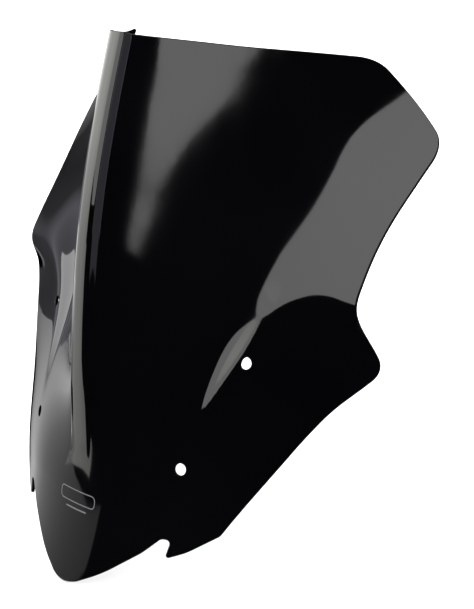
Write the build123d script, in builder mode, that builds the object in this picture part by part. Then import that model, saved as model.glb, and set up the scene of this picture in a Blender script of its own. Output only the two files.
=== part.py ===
from build123d import *
import math
import os

# Motorcycle windscreen: one thermoformed acrylic sheet, trimmed and drilled for four screws.
# Millimetres. X runs across the motorcycle, -Y faces forward, +Z is up, and X = 0 is the symmetry plane.
# The origin is the bottom centre of the screen's bounding box.

# Sheet
sheet_thickness = 3.0

# Heights above the origin
screw_row_height = 109.5        # lower pair of screws
trim_top = 437.3                # crest of the spine rib

# Screws
screw_hole_diameter = 9.5
lower_screw_half_span = 92.0
upper_screw_half_span = 120.8
upper_screw_rise = 83.9         # upper pair above the lower pair

# Where the skin's own y = 0 lies, so that the bounding box is centred on the origin
skin_depth_offset = -58.7

# Spine: depth of the centre line, a polynomial in the height above the lower screws (per 100 mm)
spine_depth = (-28.6, 6.2, -6.0, 4.75, -0.65)
nose_radius = 12.0
nose_power = 3                  # above 2 the flanks run straighter up to the nose

# Side skin: how far the sheet has swept back at a half width of 200 mm
side_reference = 200.0
side_sweep = 94.7
side_sweep_low_rate = 0.236     # extra sweep per mm of height lost below the screws
side_sweep_low_start = 10.0
side_sweep_low_blend = 30.0

# Wings: above a crease that falls away from the waist towards the lower screws, the sheet leans back
wing_lean = 0.54                # extra sweep per mm of height above the crease, at the waist
wing_top = 300.0                # every lean reaches the same depth at this height
wing_crease_height = 130.5
wing_crease_blend = 6.0
crease_half_span = 185.0        # inboard of this the crease falls
crease_fall = 145.0             # fall at 100 mm inboard, growing with the cube of the distance
crease_foot = 15.0              # lowest height of the crease
crease_foot_blend = 8.0
top_ease = 0.28                 # lean given up per mm of height towards the top edge
top_ease_height = 272.0
top_ease_blend = 12.0

# Section shape: 0 is a plain V, positive a U with steeper sides, negative a V with flatter sides
section_bottom = 1.0
section_middle = -0.63
section_top = -0.3
section_lower_blend = (-42.0, 118.0)
section_upper_blend = (120.0, 300.0)

# Lugs: the side ears curl back at their tips
lug_height = 91.0
lug_half_span = 215.0
lug_curl = 15.4
lug_reach_up = 25.0
lug_reach_down = 34.5
lug_power = 4

# Spine rib: raised strip down the centre line that fades out above the bottom
rib_height = 3.0
rib_crest_half_width = 9.0
rib_foot_half_width = 13.0
rib_back_narrowing = 2.0
rib_fade = (-12.0, 55.0)        # heights between which it dies out
rib_step_at_top = 1.9           # the top edge is this much higher across the rib

# Front view of the trimmed edge, right half: corners as (half width, height above the lower screws),
# each with the radius that rounds it
trim_start = (0.0, trim_top - screw_row_height)
trim_corners = [
    (rib_crest_half_width, trim_top - screw_row_height, 1.2),
    (rib_foot_half_width, trim_top - screw_row_height - rib_step_at_top, 1.2),
    (73.0, 316.6, 500.0),       # top edge
    (146.8, 308.9, 36.0),       # top corner
    (208.2, 249.8, 24.0),       # wing tip
    (196.0, 182.0, 200.0),      # waist
    (198.3, 138.5, 40.0),
    (209.8, 114.5, 80.0),
    (214.3, 97.0, 25.0),
    (215.6, 86.8, 18.0),        # lug tip
    (187.0, 56.0, 150.0),       # lower side
    (170.0, 29.0, 300.0),
    (126.0, -48.6, 5.0),        # lower outer corner
    (104.0, -65.0, 60.0),
    (88.5, -72.2, 2.0),         # fang tip
    (91.8, -56.9, 3.0),         # notch
    (84.6, -56.5, 6.0),
    (70.0, -71.0, 80.0),        # bottom edge
    (38.0, -94.5, 150.0),
    (9.0, -109.5, 36.0),        # bottom centre
]
trim_end = (0.0, -screw_row_height)

# Printed mark: a plain outlined tablet with a bar under it
mark_height = -42.0             # centre, above the lower screws
mark_width = 44.0
mark_tall = 11.0
mark_line = 0.8
mark_corner = 4.0
mark_bar_width = 26.0
mark_bar_tall = 1.2
mark_bar_corner = 0.4
mark_bar_drop = 10.0
mark_film = 0.1

# Grid that the skins are fitted through, a little wider than the trimmed edge all round
skin_half_width = 228.0
skin_low = -124.0
skin_high = 340.0
column_pitch = 2.0
row_pitch = 8.0
slope_step = 0.5
fit_tolerance = 0.01
prism_reach = 260.0


def smooth_step(value, start, end):
    """Rise from 0 at start to 1 at end with level ends."""
    share = min(max((value - start) / (end - start), 0.0), 1.0)
    return share * share * (3 - 2 * share)


def soft_ramp(value, blend):
    """Zero below 0 and the value itself above 0, rounded over the blend length."""
    return blend * math.log1p(math.exp(value / blend))


def base_depth(x, h):
    """Depth of the outer skin without the rib, at half width x and height h above the lower screws."""
    x = abs(x)
    spine = sum(term * (h / 100) ** power for power, term in enumerate(spine_depth))
    crease = wing_crease_height - crease_fall * (max(crease_half_span - x, 0) / 100) ** 3
    crease = crease_foot + soft_ramp(crease - crease_foot, crease_foot_blend)
    lean = wing_lean * (wing_top - wing_crease_height) / (wing_top - crease)
    sweep = side_sweep + lean * soft_ramp(h - crease, wing_crease_blend)
    sweep -= top_ease * soft_ramp(h - top_ease_height, top_ease_blend)
    sweep += side_sweep_low_rate * soft_ramp(side_sweep_low_start - h, side_sweep_low_blend)
    bow = section_bottom + (section_middle - section_bottom) * smooth_step(h, *section_lower_blend)
    bow += (section_top - section_middle) * smooth_step(h, *section_upper_blend)
    nose = (x**nose_power + nose_radius**nose_power) ** (1 / nose_power) - nose_radius
    vee = nose / (side_reference - nose_radius)
    arch = (x / side_reference) ** 2
    reach = lug_reach_up if h > lug_height else lug_reach_down
    curl = lug_curl * math.exp(-(((h - lug_height) / reach) ** 2)) * (x / lug_half_span) ** lug_power
    return spine + sweep * ((1 - bow) * vee + bow * arch) + curl + skin_depth_offset


def rib_rise(x, h, narrowing):
    """How far the rib stands forward of the base skin."""
    across = smooth_step(-abs(x), narrowing - rib_foot_half_width, narrowing - rib_crest_half_width)
    return rib_height * across * smooth_step(h, *rib_fade)


def outer_depth(x, h):
    return base_depth(x, h) - rib_rise(x, h, 0)


def inner_depth(x, h):
    """The inner skin stands one sheet thickness behind the outer one, measured square to the sheet."""
    across = (base_depth(x + slope_step, h) - base_depth(x - slope_step, h)) / (2 * slope_step)
    upward = (base_depth(x, h + slope_step) - base_depth(x, h - slope_step)) / (2 * slope_step)
    behind = sheet_thickness * math.sqrt(1 + across**2 + upward**2)
    return base_depth(x, h) + behind - rib_rise(x, h, rib_back_narrowing)


def skin(depth):
    """Spline face through a grid of points on the given depth formula."""
    columns = round(2 * skin_half_width / column_pitch)
    rows = round((skin_high - skin_low) / row_pitch)
    grid = []
    for row in range(rows + 1):
        h = skin_low + row * row_pitch
        xs = [-skin_half_width + column * column_pitch for column in range(columns + 1)]
        grid.append([(x, depth(x, h), h + screw_row_height) for x in xs])
    return Face.make_surface_from_array_of_points(grid, tol=fit_tolerance, min_deg=3, max_deg=3)


def screw_plane(x, h):
    """Plane on the outer skin at a screw, its normal pointing out of the front of the sheet."""
    across = (base_depth(x + slope_step, h) - base_depth(x - slope_step, h)) / (2 * slope_step)
    upward = (base_depth(x, h + slope_step) - base_depth(x, h - slope_step)) / (2 * slope_step)
    return Plane(origin=(x, outer_depth(x, h), h + screw_row_height), z_dir=(across, -1, upward))


screw_planes = [
    screw_plane(side * half_span, h)
    for half_span, h in [(lower_screw_half_span, 0.0), (upper_screw_half_span, upper_screw_rise)]
    for side in (1, -1)
]
outer_skin = skin(outer_depth)
inner_skin = skin(inner_depth)
print_skin = outer_skin.translate((0, -mark_film, 0))

# Screen panel: the front view extruded, then cut back to the two skins and drilled
front_plane = Plane(origin=(0, 0, screw_row_height), x_dir=(1, 0, 0), z_dir=(0, -1, 0))
with BuildPart() as screen_panel:
    with BuildSketch(front_plane) as front_view:
        with BuildLine() as trim_line:
            FilletPolyline(
                trim_start,
                *[(x, h) for x, h, radius in trim_corners],
                trim_end,
                radius=[radius for x, h, radius in trim_corners],
            )
            mirror(about=Plane.YZ)
        make_face()
    extrude(amount=prism_reach, both=True)
    split(bisect_by=outer_skin, keep=Keep.TOP)
    split(bisect_by=inner_skin, keep=Keep.BOTTOM)
    with Locations(*screw_planes):
        Hole(radius=screw_hole_diameter / 2, depth=2 * sheet_thickness)
screen_panel.part.label = "screen_panel"

# Printed mark: a film of ink on the outer skin
with BuildPart() as printed_mark:
    with BuildSketch(front_plane) as mark_view:
        with Locations((0, mark_height)):
            RectangleRounded(mark_width, mark_tall, mark_corner)
            RectangleRounded(
                mark_width - 2 * mark_line,
                mark_tall - 2 * mark_line,
                mark_corner - mark_line,
                mode=Mode.SUBTRACT,
            )
        with Locations((0, mark_height - mark_bar_drop)):
            RectangleRounded(mark_bar_width, mark_bar_tall, mark_bar_corner)
    extrude(amount=prism_reach, both=True)
    split(bisect_by=outer_skin, keep=Keep.BOTTOM)
    split(bisect_by=print_skin, keep=Keep.TOP)
printed_mark.part.label = "printed_mark"

os.makedirs("parts", exist_ok=True)
export_step(screen_panel.part, "parts/screen_panel.step")
export_step(printed_mark.part, "parts/printed_mark.step")
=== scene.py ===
import math

import bpy
import numpy as np
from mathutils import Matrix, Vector
from mathutils.geometry import delaunay_2d_cdt


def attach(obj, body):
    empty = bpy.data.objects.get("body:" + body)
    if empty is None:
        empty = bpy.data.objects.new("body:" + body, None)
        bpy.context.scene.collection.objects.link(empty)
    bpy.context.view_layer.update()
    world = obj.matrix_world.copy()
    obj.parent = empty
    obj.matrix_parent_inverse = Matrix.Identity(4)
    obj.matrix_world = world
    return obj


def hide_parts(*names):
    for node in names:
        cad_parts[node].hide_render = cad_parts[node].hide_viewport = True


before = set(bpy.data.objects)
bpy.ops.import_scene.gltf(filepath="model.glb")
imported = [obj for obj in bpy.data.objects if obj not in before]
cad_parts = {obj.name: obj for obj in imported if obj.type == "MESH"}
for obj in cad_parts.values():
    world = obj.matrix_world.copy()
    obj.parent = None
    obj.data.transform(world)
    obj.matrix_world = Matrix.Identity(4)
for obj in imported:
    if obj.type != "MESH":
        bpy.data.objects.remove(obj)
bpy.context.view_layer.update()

# The looks of a motorcycle windscreen: one thermoformed sheet of smoked acrylic with a plain printed mark.
# Lengths in the shape formulas are millimetres, as in the CAD source; meshes are made in metres.

MM = 0.001

# ---------- the sheet's shape
SHEET_THICKNESS = 3.0
SCREW_ROW_HEIGHT = 109.5
TRIM_TOP = 437.3
SCREW_RADIUS = 4.75
SCREWS = [(92.0, 0.0), (120.8, 83.9)]          # half span, height above the lower pair
SKIN_DEPTH_OFFSET = -58.7
SPINE_DEPTH = (-28.6, 6.2, -6.0, 4.75, -0.65)  # polynomial in the height above the lower screws, per 100 mm
NOSE_RADIUS = 12.0
NOSE_POWER = 3                  # above 2 the flanks run straighter up to the nose
SIDE_REFERENCE = 200.0
SIDE_SWEEP = 94.7               # how far the sheet has swept back at that half width
SIDE_SWEEP_LOW_RATE = 0.236     # extra sweep per mm of height lost below the screws
SIDE_SWEEP_LOW_START = 10.0
SIDE_SWEEP_LOW_BLEND = 30.0
WING_LEAN = 0.54                # extra sweep per mm above the crease, at the waist
WING_CREASE_HEIGHT = 130.5      # the crease under each wing, at the waist
WING_CREASE_BLEND = 6.0
WING_TOP = 300.0                # every lean reaches the same depth here
CREASE_HALF_SPAN = 185.0        # inboard of this the crease falls away towards the lower screw
CREASE_FALL = 145.0             # at 100 mm inboard, growing with the cube
CREASE_FOOT = 15.0              # lowest height of the crease
CREASE_FOOT_BLEND = 8.0
TOP_EASE = 0.28                 # lean given up per mm towards the top edge
TOP_EASE_HEIGHT = 272.0
TOP_EASE_BLEND = 12.0
SECTION_BOTTOM = 1.0            # 0 is a plain V, positive a U with steeper sides, negative has flatter sides
SECTION_MIDDLE = -0.63
SECTION_TOP = -0.3
SECTION_LOWER_BLEND = (-42.0, 118.0)
SECTION_UPPER_BLEND = (120.0, 300.0)
LUG_HEIGHT = 91.0
LUG_HALF_SPAN = 215.0
LUG_CURL = 15.4
LUG_REACH_UP = 25.0
LUG_REACH_DOWN = 34.5
LUG_POWER = 4
RIB_HEIGHT = 3.0
RIB_CREST_HALF_WIDTH = 9.0
RIB_FOOT_HALF_WIDTH = 13.0
RIB_BACK_NARROWING = 2.0
RIB_FADE = (-12.0, 55.0)        # heights between which it dies out
RIB_STEP_AT_TOP = 1.9           # the top edge is this much higher across the rib
# Right half of the trimmed edge from the front: half width, height above the lower screws, rounding radius
TRIM_CORNERS = [
    (RIB_CREST_HALF_WIDTH, TRIM_TOP - SCREW_ROW_HEIGHT, 1.2),
    (RIB_FOOT_HALF_WIDTH, TRIM_TOP - SCREW_ROW_HEIGHT - RIB_STEP_AT_TOP, 1.2),
    (73.0, 316.6, 500.0),       # top edge
    (146.8, 308.9, 36.0),       # top corner
    (208.2, 249.8, 24.0),       # wing tip
    (196.0, 182.0, 200.0),      # waist
    (198.3, 138.5, 40.0),
    (209.8, 114.5, 80.0),
    (214.3, 97.0, 25.0),
    (215.6, 86.8, 18.0),        # lug tip
    (187.0, 56.0, 150.0),       # lower side
    (170.0, 29.0, 300.0),
    (126.0, -48.6, 5.0),        # lower outer corner
    (104.0, -65.0, 60.0),
    (88.5, -72.2, 2.0),         # fang tip
    (91.8, -56.9, 3.0),         # notch
    (84.6, -56.5, 6.0),
    (70.0, -71.0, 80.0),        # bottom edge
    (38.0, -94.5, 150.0),
    (9.0, -109.5, 36.0),        # bottom centre
]

# Mesh density and edges
EDGE_ROUND = 0.75               # buffed radius on the trimmed edge
HOLE_ROUND = 0.4
EDGE_STEPS = 4                  # quads across each rounding
TRIM_SPACING = 1.6
TRIM_CLEARANCE = 0.75           # grid points keep this share of the trim spacing away from every edge
ARC_STEP = math.radians(9)
GRID_SPACING = 2.6
RIB_SPACING = 0.6
RIB_COLUMNS = 24                # close columns on each side of the centre line
HOLE_SEGMENTS = 64
SLOPE_STEP = 0.05
MERGE_DISTANCE = 1e-6
SLIVER_AREA = 1e-4              # twice the area below which a triangle is dropped

# Printed mark
MARK_HEIGHT = -42.0
MARK_WIDTH = 44.0
MARK_TALL = 11.0
MARK_LINE = 0.8
MARK_CORNER = 4.0
MARK_BAR_WIDTH = 26.0
MARK_BAR_TALL = 1.2
MARK_BAR_CORNER = 0.4
MARK_BAR_DROP = 10.0
MARK_SPACING = 0.8
MARK_FILM = 0.06                # how far the film stands in front of the skin, and behind it


def smooth_step(value, start, end):
    """Rise from 0 at start to 1 at end with level ends."""
    share = np.clip((value - start) / (end - start), 0.0, 1.0)
    return share * share * (3 - 2 * share)


def soft_ramp(value, blend):
    """Zero below 0 and the value itself above 0, rounded over the blend length."""
    return blend * np.logaddexp(0, value / blend)


def base_depth(x, h):
    """Depth of the outer skin without the rib, at half width x and height h above the lower screws."""
    x = np.abs(x)
    spine = sum(term * (h / 100) ** power for power, term in enumerate(SPINE_DEPTH))
    crease = WING_CREASE_HEIGHT - CREASE_FALL * (np.maximum(CREASE_HALF_SPAN - x, 0) / 100) ** 3
    crease = CREASE_FOOT + soft_ramp(crease - CREASE_FOOT, CREASE_FOOT_BLEND)
    lean = WING_LEAN * (WING_TOP - WING_CREASE_HEIGHT) / (WING_TOP - crease)
    sweep = SIDE_SWEEP + lean * soft_ramp(h - crease, WING_CREASE_BLEND)
    sweep = sweep + SIDE_SWEEP_LOW_RATE * soft_ramp(SIDE_SWEEP_LOW_START - h, SIDE_SWEEP_LOW_BLEND)
    sweep = sweep - TOP_EASE * soft_ramp(h - TOP_EASE_HEIGHT, TOP_EASE_BLEND)
    bow = SECTION_BOTTOM + (SECTION_MIDDLE - SECTION_BOTTOM) * smooth_step(h, *SECTION_LOWER_BLEND)
    bow = bow + (SECTION_TOP - SECTION_MIDDLE) * smooth_step(h, *SECTION_UPPER_BLEND)
    nose = (x ** NOSE_POWER + NOSE_RADIUS ** NOSE_POWER) ** (1 / NOSE_POWER) - NOSE_RADIUS
    vee = nose / (SIDE_REFERENCE - NOSE_RADIUS)
    arch = (x / SIDE_REFERENCE) ** 2
    reach = np.where(h > LUG_HEIGHT, LUG_REACH_UP, LUG_REACH_DOWN)
    curl = LUG_CURL * np.exp(-(((h - LUG_HEIGHT) / reach) ** 2)) * (x / LUG_HALF_SPAN) ** LUG_POWER
    return spine + sweep * ((1 - bow) * vee + bow * arch) + curl + SKIN_DEPTH_OFFSET


def rib_rise(x, h, narrowing):
    """How far the rib stands forward of the base skin."""
    across = smooth_step(-np.abs(x), narrowing - RIB_FOOT_HALF_WIDTH, narrowing - RIB_CREST_HALF_WIDTH)
    return RIB_HEIGHT * across * smooth_step(h, *RIB_FADE)


def front_normal(depth, x, h):
    """Unit normals that point out of the front of the skin on the given depth formula."""
    across = (depth(x + SLOPE_STEP, h) - depth(x - SLOPE_STEP, h)) / (2 * SLOPE_STEP)
    upward = (depth(x, h + SLOPE_STEP) - depth(x, h - SLOPE_STEP)) / (2 * SLOPE_STEP)
    normals = np.stack([across, -np.ones_like(across), upward], axis=-1)
    return normals / np.linalg.norm(normals, axis=-1, keepdims=True)


def outer_depth(x, h):
    return base_depth(x, h) - rib_rise(x, h, 0)


def outer_point(flat):
    x, h = flat[:, 0], flat[:, 1]
    return np.stack([x, outer_depth(x, h), h + SCREW_ROW_HEIGHT], axis=-1)


def inner_point(flat):
    """One sheet thickness behind the outer skin, measured square to the sheet, with a narrower rib."""
    x, h = flat[:, 0], flat[:, 1]
    base = np.stack([x, base_depth(x, h), h + SCREW_ROW_HEIGHT], axis=-1)
    point = base - SHEET_THICKNESS * front_normal(base_depth, x, h)
    point[:, 1] -= rib_rise(x, h, RIB_BACK_NARROWING)
    return point


def outer_normal(flat):
    return front_normal(outer_depth, flat[:, 0], flat[:, 1])


def inner_normal(flat):
    step_x = np.array([SLOPE_STEP, 0.0])
    step_h = np.array([0.0, SLOPE_STEP])
    across = inner_point(flat + step_x) - inner_point(flat - step_x)
    upward = inner_point(flat + step_h) - inner_point(flat - step_h)
    normals = np.cross(upward, across)
    return normals / np.linalg.norm(normals, axis=-1, keepdims=True)


# ---------- outlines
def rounded_run(corners, start, end, spacing):
    """Points along a run of straight stretches, with every corner rounded by its own radius."""
    path = [np.array(start)]
    flat = [np.array(start)] + [np.array(corner[:2]) for corner in corners] + [np.array(end)]
    for before, corner, after, (_, _, radius) in zip(flat, flat[1:], flat[2:], corners):
        come = (before - corner) / np.linalg.norm(before - corner)
        leave = (after - corner) / np.linalg.norm(after - corner)
        half = math.acos(np.clip(come @ leave, -1, 1)) / 2
        middle = come + leave
        middle /= np.linalg.norm(middle)
        centre = corner + middle * radius / math.sin(half)
        first = corner + come * radius / math.tan(half) - centre
        turn = math.pi - 2 * half
        turn *= 1 if come[0] * leave[1] - come[1] * leave[0] < 0 else -1
        count = max(math.ceil(abs(turn) / ARC_STEP), math.ceil(abs(turn) * radius / spacing), 1)
        for step in range(count + 1):
            cosine, sine = math.cos(turn * step / count), math.sin(turn * step / count)
            path.append(centre + [first[0] * cosine - first[1] * sine, first[0] * sine + first[1] * cosine])
    path.append(np.array(end))
    filled = [path[0]]
    for point in path[1:]:
        gap = point - filled[-1]
        count = max(round(np.linalg.norm(gap) / spacing), 1)
        filled += [filled[-1] + gap * step / count for step in range(1, count + 1)]
    return np.array(filled)


def trim_loop():
    """The trimmed edge seen from the front, anticlockwise with x to the right and height up."""
    start = (0.0, TRIM_TOP - SCREW_ROW_HEIGHT)
    end = (0.0, -SCREW_ROW_HEIGHT)
    half = rounded_run(TRIM_CORNERS, start, end, TRIM_SPACING)
    left = half * [-1, 1]
    return np.concatenate([left, half[-2:0:-1]])


def hole_loop(x, h):
    """A screw hole's circle, square to the sheet, seen from the front, clockwise."""
    centre = np.array([[x, h]])
    normal = outer_normal(centre)[0]
    across = np.cross([0, 0, 1], normal)
    across /= np.linalg.norm(across)
    upward = np.cross(normal, across)
    angles = -np.arange(HOLE_SEGMENTS) * 2 * math.pi / HOLE_SEGMENTS
    ring = np.outer(np.cos(angles), across) + np.outer(np.sin(angles), upward)
    return centre + SCREW_RADIUS * ring[:, [0, 2]]


def inside(points, loop):
    """Which points lie inside a closed loop."""
    found = np.zeros(len(points), bool)
    ends = np.roll(loop, -1, axis=0)
    for (x1, y1), (x2, y2) in zip(loop, ends):
        if y1 == y2:
            continue
        spans = (points[:, 1] < y1) != (points[:, 1] < y2)
        crossing = x1 + (points[:, 1] - y1) * (x2 - x1) / (y2 - y1)
        found ^= spans & (points[:, 0] < crossing)
    return found


def clear_of(points, loop, gap):
    """Which points stand at least gap away from every point of a loop."""
    keep = np.ones(len(points), bool)
    for point in loop:
        near = np.abs(points - point).max(axis=1) < gap
        keep[near] &= np.linalg.norm(points[near] - point, axis=1) >= gap
    return keep


# ---------- meshes
def edge_outward(points, normals):
    """Directions square to the normals that point out of the material, at each point of a boundary loop."""
    along = np.roll(points, -1, axis=0) - np.roll(points, 1, axis=0)
    outward = np.cross(along, normals)
    outward -= (outward * normals).sum(axis=1, keepdims=True) * normals
    return outward / np.linalg.norm(outward, axis=1, keepdims=True)


def inset_loop(loop, amount):
    """The loop moved into the material, measured along the sheet."""
    outward = edge_outward(outer_point(loop), outer_normal(loop))
    return loop - amount * outward[:, [0, 2]]


def triangulate(loops, points):
    """Triangles that fill the first loop and leave the other loops open, through the points."""
    flat = []
    edges = []
    for loop in loops:
        start = len(flat)
        flat += [tuple(point) for point in loop]
        edges += [(start + i, start + (i + 1) % len(loop)) for i in range(len(loop))]
    flat += [tuple(point) for point in points]
    made = delaunay_2d_cdt([Vector(point) for point in flat], edges, [], 0, MERGE_DISTANCE)
    assert len(made[0]) == len(flat), "the outline crosses itself"
    source = [origin[0] for origin in made[3]]
    faces = np.array([[source[i] for i in face] for face in made[2]])
    flat = np.array(flat)
    centres = flat[faces].mean(axis=1)
    first = flat[faces[:, 1]] - flat[faces[:, 0]]
    second = flat[faces[:, 2]] - flat[faces[:, 0]]
    keep = np.abs(first[:, 0] * second[:, 1] - first[:, 1] * second[:, 0]) > SLIVER_AREA
    keep &= inside(centres, loops[0])
    for loop in loops[1:]:
        keep &= ~inside(centres, loop)
    return flat, faces[keep]


def mesh_object(name, points, faces, normals):
    """A smooth object from points in millimetres, with a normal given at every point."""
    mesh = bpy.data.meshes.new(name)
    mesh.from_pydata((points * MM).tolist(), [], [list(map(int, face)) for face in faces])
    mesh.validate()
    mesh.polygons.foreach_set("use_smooth", [True] * len(mesh.polygons))
    mesh.normals_split_custom_set_from_vertices(normals.tolist())
    mesh.update()
    piece = bpy.data.objects.new(name, mesh)
    bpy.context.scene.collection.objects.link(piece)
    return piece


def screen_grid(loops):
    """Points spread over the sheet, closer together across the rib."""
    near = np.arange(-RIB_COLUMNS, RIB_COLUMNS + 1) * RIB_SPACING
    far = np.arange(near[-1] + GRID_SPACING / 2, LUG_HALF_SPAN + 1, GRID_SPACING)
    columns = np.concatenate([-far[::-1], near, far])
    rows = np.arange(-SCREW_ROW_HEIGHT, TRIM_TOP - SCREW_ROW_HEIGHT, GRID_SPACING)
    points = np.stack(np.meshgrid(columns, rows), axis=-1).reshape(-1, 2)
    points = points[inside(points, loops[0])]
    for loop in loops[1:]:
        points = points[~inside(points, loop)]
    for loop in loops:
        points = points[clear_of(points, loop, TRIM_CLEARANCE * TRIM_SPACING)]
    return points


def build_screen():
    """Both skins of the sheet, joined round the trimmed edge and through the holes by buffed edges."""
    rims = [(trim_loop(), EDGE_ROUND)]
    rims += [(hole_loop(side * x, h), HOLE_ROUND) for x, h in SCREWS for side in (1, -1)]
    loops = [inset_loop(loop, amount) for loop, amount in rims]
    flat, faces = triangulate(loops, screen_grid(loops))
    count = len(flat)
    front = outer_point(flat)
    back = inner_point(flat)
    points = [front, back]
    normals = [outer_normal(flat), inner_normal(flat)]
    front_faces = orient(front, faces, normals[0])
    all_faces = list(front_faces)
    all_faces += [face[::-1] + count for face in front_faces]
    start = 0
    made = 2 * count
    for loop, (_, amount) in zip(loops, rims):
        size = len(loop)
        ring = np.arange(start, start + size)
        through = front[ring] - back[ring]
        through /= np.linalg.norm(through, axis=1, keepdims=True)
        outward = edge_outward(front[ring], through)
        rows = [ring]
        for edge, side in ((front[ring], -1), (back[ring], 1)):
            turns = range(1, EDGE_STEPS + 1) if side < 0 else range(EDGE_STEPS, 0, -1)
            for turn in turns:
                angle = turn * math.pi / 2 / EDGE_STEPS
                sink = amount * (1 - math.cos(angle)) * side
                points.append(edge + amount * math.sin(angle) * outward + sink * through)
                normals.append(math.sin(angle) * outward - side * math.cos(angle) * through)
                rows.append(np.arange(made, made + size))
                made += size
        rows.append(ring + count)
        for near, far in zip(rows, rows[1:]):
            following = np.roll(near, -1), np.roll(far, -1)
            all_faces += list(np.stack([near, far, following[1], following[0]], axis=1))
        start += size
    return mesh_object("windscreen_sheet", np.concatenate(points), all_faces, np.concatenate(normals))


def orient(points, faces, normals):
    """The faces with their corners in the order that makes them face along the normals."""
    corner = points[faces]
    facing = np.cross(corner[:, 1] - corner[:, 0], corner[:, 2] - corner[:, 0])
    flip = (facing * normals[faces].mean(axis=1)).sum(axis=1) < 0
    faces = faces.copy()
    faces[flip] = faces[flip][:, ::-1]
    return faces


def tablet_loop(centre, width, tall, corner):
    """A rectangle with rounded corners, anticlockwise."""
    x = width / 2
    h = tall / 2
    corners = [(x, -h, corner), (x, h, corner), (-x, h, corner), (-x, -h, corner)]
    run = rounded_run(corners, (0.0, -h), (0.0, -h), MARK_SPACING)[:-1]
    return run + centre


def build_mark():
    """A thin film of ink on the outer skin: an outlined tablet with a bar under it."""
    centre = np.array([0.0, MARK_HEIGHT])
    hollow_width = MARK_WIDTH - 2 * MARK_LINE
    hollow_tall = MARK_TALL - 2 * MARK_LINE
    rim = tablet_loop(centre, MARK_WIDTH, MARK_TALL, MARK_CORNER)
    hollow = tablet_loop(centre, hollow_width, hollow_tall, MARK_CORNER - MARK_LINE)[::-1]
    bar = tablet_loop(centre - [0, MARK_BAR_DROP], MARK_BAR_WIDTH, MARK_BAR_TALL, MARK_BAR_CORNER)
    points = []
    faces = []
    normals = []
    made = 0
    for loops in ([rim, hollow], [bar]):
        flat, triangles = triangulate(loops, np.empty((0, 2)))
        skin, facing = outer_point(flat), outer_normal(flat)
        count = len(flat)
        triangles = orient(skin, triangles, facing)
        points += [skin + MARK_FILM * facing, skin - MARK_FILM * facing]
        normals += [facing, -facing]
        faces += [face + made for face in triangles]
        faces += [face[::-1] + made + count for face in triangles]
        start = 0
        for loop in loops:
            ring = np.arange(start, start + len(loop)) + made
            following = np.roll(ring, -1)
            faces += list(np.stack([ring, ring + count, following + count, following], axis=1))
            start += len(loop)
        made += 2 * count
    return mesh_object("printed_mark_film", np.concatenate(points), faces, np.concatenate(normals))


# ---------- materials
NOISE_LOW = 0.3                 # most of a noise texture's values lie between these two
NOISE_HIGH = 0.7

ACRYLIC_DARK = (0.0006, 0.0006, 0.0008)
ACRYLIC_LIGHT = (0.0011, 0.0010, 0.0014)
ACRYLIC_CLOUDS = 9.0            # waves per metre, as for every noise scale
ACRYLIC_ROUGHNESS = (0.035, 0.06)
ACRYLIC_IOR = 1.49
SMEAR_WAVES = 30.0
SMEAR_DETAIL = 4.0
SMEAR_STRETCH = (1.0, 1.0, 0.35)
RIPPLE_WAVES = 140.0
RIPPLE_DETAIL = 1.0
RIPPLE_STRENGTH = 0.25
RIPPLE_HEIGHT = 0.00001

INK_DARK = (0.052, 0.052, 0.056)
INK_LIGHT = (0.11, 0.11, 0.115)
INK_SPECKLES = 2500.0
INK_DETAIL = 3.0
INK_DARK_UP_TO = 0.25           # share of the noise below which the ink is darkest
INK_LIGHT_FROM = 0.65
INK_ROUGHNESS = (0.4, 0.6)

FLOOR_DARK = (0.93, 0.93, 0.93)
FLOOR_LIGHT = (0.95, 0.95, 0.95)
FLOOR_CLOUDS = 3.0
FLOOR_ROUGHNESS = 0.9


def material(name):
    """A new material, its node tree and its main shader."""
    made = bpy.data.materials.new(name)
    made.use_nodes = True
    return made, made.node_tree, made.node_tree.nodes["Principled BSDF"]


def noise(tree, scale, detail=2.0, stretch=(1, 1, 1)):
    """A noise texture in object space, scale in waves per metre."""
    coordinates = tree.nodes.new("ShaderNodeTexCoord")
    mapping = tree.nodes.new("ShaderNodeMapping")
    mapping.inputs["Scale"].default_value = stretch
    texture = tree.nodes.new("ShaderNodeTexNoise")
    texture.inputs["Scale"].default_value = scale
    texture.inputs["Detail"].default_value = detail
    tree.links.new(coordinates.outputs["Object"], mapping.inputs["Vector"])
    tree.links.new(mapping.outputs["Vector"], texture.inputs["Vector"])
    return texture.outputs["Fac"]


def ramp(tree, value, stops):
    """A colour ramp through (position, colour) stops."""
    made = tree.nodes.new("ShaderNodeValToRGB")
    elements = made.color_ramp.elements
    while len(elements) < len(stops):
        elements.new(0.5)
    for element, (position, colour) in zip(elements, stops):
        element.position = position
        element.color = (*colour, 1)
    tree.links.new(value, made.inputs["Fac"])
    return made.outputs["Color"]


def map_range(tree, value, low, high, start=NOISE_LOW, end=NOISE_HIGH):
    """The value, carried from between start and end to between low and high."""
    made = tree.nodes.new("ShaderNodeMapRange")
    made.inputs["From Min"].default_value = start
    made.inputs["From Max"].default_value = end
    made.inputs["To Min"].default_value = low
    made.inputs["To Max"].default_value = high
    tree.links.new(value, made.inputs["Value"])
    return made.outputs["Result"]


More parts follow.
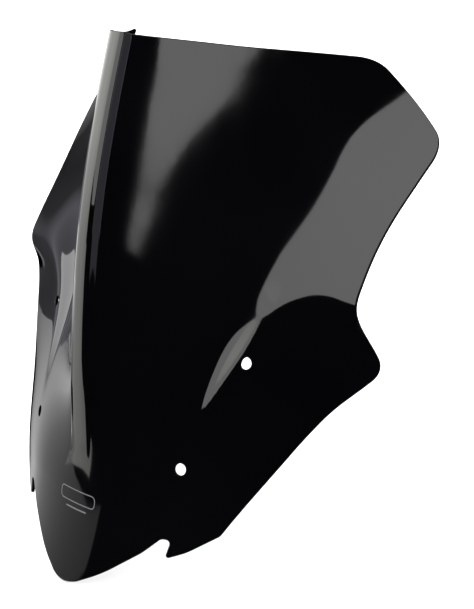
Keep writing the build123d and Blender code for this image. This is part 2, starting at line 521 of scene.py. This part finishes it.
def smoked_acrylic():
    made, tree, shader = material("smoked_acrylic")
    cloud = noise(tree, ACRYLIC_CLOUDS)
    tint = ramp(tree, cloud, [(NOISE_LOW, ACRYLIC_DARK), (NOISE_HIGH, ACRYLIC_LIGHT)])
    tree.links.new(tint, shader.inputs["Base Color"])
    smear = noise(tree, SMEAR_WAVES, SMEAR_DETAIL, SMEAR_STRETCH)
    tree.links.new(map_range(tree, smear, *ACRYLIC_ROUGHNESS), shader.inputs["Roughness"])
    shader.inputs["IOR"].default_value = ACRYLIC_IOR
    bump = tree.nodes.new("ShaderNodeBump")
    bump.inputs["Strength"].default_value = RIPPLE_STRENGTH
    bump.inputs["Distance"].default_value = RIPPLE_HEIGHT
    tree.links.new(noise(tree, RIPPLE_WAVES, RIPPLE_DETAIL), bump.inputs["Height"])
    tree.links.new(bump.outputs["Normal"], shader.inputs["Normal"])
    return made


def printed_ink():
    made, tree, shader = material("printed_ink")
    speckle = noise(tree, INK_SPECKLES, INK_DETAIL)
    tint = ramp(tree, speckle, [(INK_DARK_UP_TO, INK_DARK), (INK_LIGHT_FROM, INK_LIGHT)])
    tree.links.new(tint, shader.inputs["Base Color"])
    tree.links.new(map_range(tree, speckle, *INK_ROUGHNESS), shader.inputs["Roughness"])
    return made


def pale_floor():
    made, tree, shader = material("pale_floor")
    cloud = noise(tree, FLOOR_CLOUDS)
    tint = ramp(tree, cloud, [(NOISE_LOW, FLOOR_DARK), (NOISE_HIGH, FLOOR_LIGHT)])
    tree.links.new(tint, shader.inputs["Base Color"])
    shader.inputs["Roughness"].default_value = FLOOR_ROUGHNESS
    shader.inputs["Specular IOR Level"].default_value = 0.0
    return made


# ---------- the studio
CAMERA_AZIMUTH = math.radians(47.47)
CAMERA_ELEVATION = math.radians(15.76)
CAMERA_TARGET = Vector((0.0300, 0.0568, 0.2069))
CAMERA_DISTANCE = 1.33
SENSOR_WIDTH = 36.0
LENS = 94.6
FLOOR_DROP = 0.0015
FLOOR_REACH = 20.0
WORLD_STRENGTH = 2.4
CARD_CENTRE = (0.110, 0.0017, 0.300)           # just in front of one wing
RIB_CARD_CENTRE = (0.0, -0.100, 0.270)         # just in front of the rib
WHITE = (1.0, 1.0, 1.0)


def direction(azimuth, elevation):
    """From the object towards something at that azimuth and elevation, in radians."""
    level = math.cos(elevation)
    return Vector((math.sin(azimuth) * level, -math.cos(azimuth) * level, math.sin(elevation)))


def add_camera():
    data = bpy.data.cameras.new("camera")
    data.sensor_width = SENSOR_WIDTH
    data.lens = LENS
    camera = bpy.data.objects.new("camera", data)
    out = direction(CAMERA_AZIMUTH, CAMERA_ELEVATION)
    camera.location = CAMERA_TARGET + CAMERA_DISTANCE * out
    camera.rotation_euler = out.to_track_quat("Z", "Y").to_euler()
    bpy.context.scene.collection.objects.link(camera)
    bpy.context.scene.camera = camera


def add_floor():
    """A wide pale floor just under the object, hidden from reflections."""
    mesh = bpy.data.meshes.new("floor")
    sides = ((-1, -1), (1, -1), (1, 1), (-1, 1))
    mesh.from_pydata([(x * FLOOR_REACH, y * FLOOR_REACH, 0) for x, y in sides], [], [(0, 1, 2, 3)])
    mesh.materials.append(pale_floor())
    floor = bpy.data.objects.new("floor", mesh)
    floor.location.z = -FLOOR_DROP
    floor.visible_glossy = False
    bpy.context.scene.collection.objects.link(floor)


def add_world():
    """White light from all round, hidden from reflections."""
    world = bpy.data.worlds.new("studio")
    world.use_nodes = True
    background = world.node_tree.nodes["Background"]
    background.inputs["Color"].default_value = (*WHITE, 1)
    background.inputs["Strength"].default_value = WORLD_STRENGTH
    world.cycles_visibility.glossy = False
    bpy.context.scene.world = world
    bpy.context.scene.view_settings.view_transform = "Standard"


def fading_strength(tree, start, end, stops):
    """A strength that changes from one point in space to another. Each stop is a share of the way and the
    radiance there."""
    along = end - start
    peak = max(radiance for _, radiance in stops)
    coordinates = tree.nodes.new("ShaderNodeTexCoord")
    product = tree.nodes.new("ShaderNodeVectorMath")
    product.operation = "DOT_PRODUCT"
    product.inputs[1].default_value = along
    tree.links.new(coordinates.outputs["Object"], product.inputs[0])
    share = map_range(tree, product.outputs["Value"], 0.0, 1.0, start.dot(along), end.dot(along))
    grey = ramp(tree, share, [(place, (radiance / peak,) * 3) for place, radiance in stops])
    strength = tree.nodes.new("ShaderNodeMath")
    strength.operation = "MULTIPLY"
    strength.inputs[1].default_value = peak
    tree.links.new(grey, strength.inputs[0])
    return strength.outputs["Value"]


def light_card(
    name, azimuth, elevation, distance, outline, radiance, centre=CARD_CENTRE, fade=None, tint=WHITE
):
    """A flat softbox that is seen only in reflections. It stands square to the line that leaves the centre
    at those angles in degrees, that distance away in metres. Its outline is in millimetres in its own
    plane, x to the right and y up as seen from behind it, looking at the object. With a fade from one point
    of the plane to another, the radiance is a list of stops, each a share of the way and the radiance
    there."""
    azimuth = math.radians(azimuth)
    out = direction(azimuth, math.radians(elevation))
    across = Vector((math.cos(azimuth), math.sin(azimuth), 0))
    upward = out.cross(across)
    middle = Vector(centre) + distance * out

    def place(flat):
        return middle + MM * flat[0] * across + MM * flat[1] * upward

    points = [place(corner) for corner in outline]
    mesh = bpy.data.meshes.new(name)
    mesh.from_pydata([tuple(point) for point in points], [], [tuple(range(len(points)))])
    made = bpy.data.materials.new(name)
    made.use_nodes = True
    tree = made.node_tree
    tree.nodes.remove(tree.nodes["Principled BSDF"])
    glow = tree.nodes.new("ShaderNodeEmission")
    glow.inputs["Color"].default_value = (*tint, 1)
    if fade:
        start, end = fade
        strength = fading_strength(tree, place(start), place(end), radiance)
        tree.links.new(strength, glow.inputs["Strength"])
    else:
        glow.inputs["Strength"].default_value = radiance
    tree.links.new(glow.outputs["Emission"], tree.nodes["Material Output"].inputs["Surface"])
    mesh.materials.append(made)
    card = bpy.data.objects.new(name, mesh)
    card.visible_camera = False
    card.visible_diffuse = False
    card.visible_shadow = False
    card.visible_transmission = False
    bpy.context.scene.collection.objects.link(card)


sheet = build_screen()
mark = build_mark()
sheet.data.materials.append(smoked_acrylic())
mark.data.materials.append(printed_ink())
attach(sheet, "root")
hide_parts("screen_panel")
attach(mark, "root")
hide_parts("printed_mark")

add_camera()
add_floor()
add_world()

# Most of the outlines are rounded from traces of where the photo's reflections come from. They are tuned to
# the main camera, and what they give from elsewhere is arbitrary.
light_card(
    "softbox_wing", azimuth=15, elevation=25, distance=1.0,
    outline=[
        (320, 400), (200, 360), (0, 290), (-600, 30), (-1100, -120), (-2200, -300), (-2200, 300),
        (-1200, 1000), (400, 1200),
    ],
    radiance=[(0.0, 3.1), (0.5, 2.8), (1.0, 2.5)], fade=((0, 300), (-1100, -100)),
)
light_card(
    "softbox_nose", azimuth=15, elevation=25, distance=3.0,
    outline=[
        (1560, -120), (1575, -600), (1575, -1050), (1520, -1360), (1470, -1540), (1800, -1540), (1800, -120),
    ],
    radiance=3.0,
)
light_card(
    "softbox_rib", azimuth=-45, elevation=0, distance=0.2, centre=RIB_CARD_CENTRE,
    outline=[
        (-360, 320), (-360, 110), (-230, 110), (-160, 60), (-160, -60), (-95, -60), (-95, -235), (20, -235),
        (60, -210), (60, -180), (35, -140), (65, -70), (65, 0), (45, 0), (45, 320),
    ],
    radiance=[(0.0, 4.6), (0.35, 2.7), (1.0, 1.6)], fade=((0, 130), (0, -230)), tint=(1.0, 1.0, 0.96),
)
light_card(
    "softbox_rib_right", azimuth=0, elevation=0, distance=0.08, centre=RIB_CARD_CENTRE,
    outline=[(-25, 45), (10, 45), (35, 110), (40, 225), (-60, 225), (-60, 90)],
    radiance=2.8,
)
light_card(
    "softbox_flank", azimuth=62, elevation=5, distance=3.0, centre=RIB_CARD_CENTRE,
    outline=[(-650, -700), (750, -700), (750, 900), (-650, 900)],
    radiance=0.65, tint=(0.85, 0.85, 1.0),
)
light_card(
    "softbox_back", azimuth=205, elevation=20, distance=1.5,
    outline=[(-600, -300), (450, -300), (600, 500), (-450, 500)],
    radiance=1.6,
)
light_card(
    "softbox_wedge", azimuth=-45, elevation=0, distance=0.2, centre=RIB_CARD_CENTRE,
    outline=[
        (-215, -10), (-215, -60), (-240, -125), (-215, -160), (-95, -185), (-95, -60), (-160, -60),
        (-160, -10),
    ],
    radiance=[(0.0, 4.2), (0.3, 3.6), (1.0, 1.0)], fade=((0, -30), (0, -140)),
)
light_card(
    "softbox_far_wing", azimuth=-45, elevation=0, distance=0.2, centre=RIB_CARD_CENTRE,
    outline=[
        (-1200, 85), (-1200, -150), (-430, -150), (-300, -125), (-240, -125), (-215, -60), (-215, -10),
        (-160, -10), (-160, 60), (-200, 85),
    ],
    radiance=[(0.0, 0.08), (0.6, 0.16), (1.0, 0.8)], fade=((-430, 0), (-290, 0)), tint=(0.9, 0.9, 1.0),
)
light_card(
    "softbox_far_wing_top", azimuth=-45, elevation=0, distance=0.2, centre=RIB_CARD_CENTRE,
    outline=[(-1200, 85), (-200, 85), (-230, 110), (-360, 110), (-360, 400), (-1200, 400)],
    radiance=[(0.0, 0.12), (1.0, 0.42)], fade=((0, 85), (0, 120)),
)
light_card(
    "softbox_low", azimuth=-45, elevation=0, distance=0.2, centre=RIB_CARD_CENTRE,
    outline=[
        (-500, -150), (-430, -150), (-300, -125), (-240, -125), (-190, -200), (-40, -240), (20, -250),
        (65, -250), (65, -420), (-500, -420),
    ],
    radiance=[(0.0, 0.35), (0.2, 0.95), (0.3, 1.1), (0.5, 0.7), (1.0, 0.42)],
    fade=((-450, -150), (85, -260)),
)
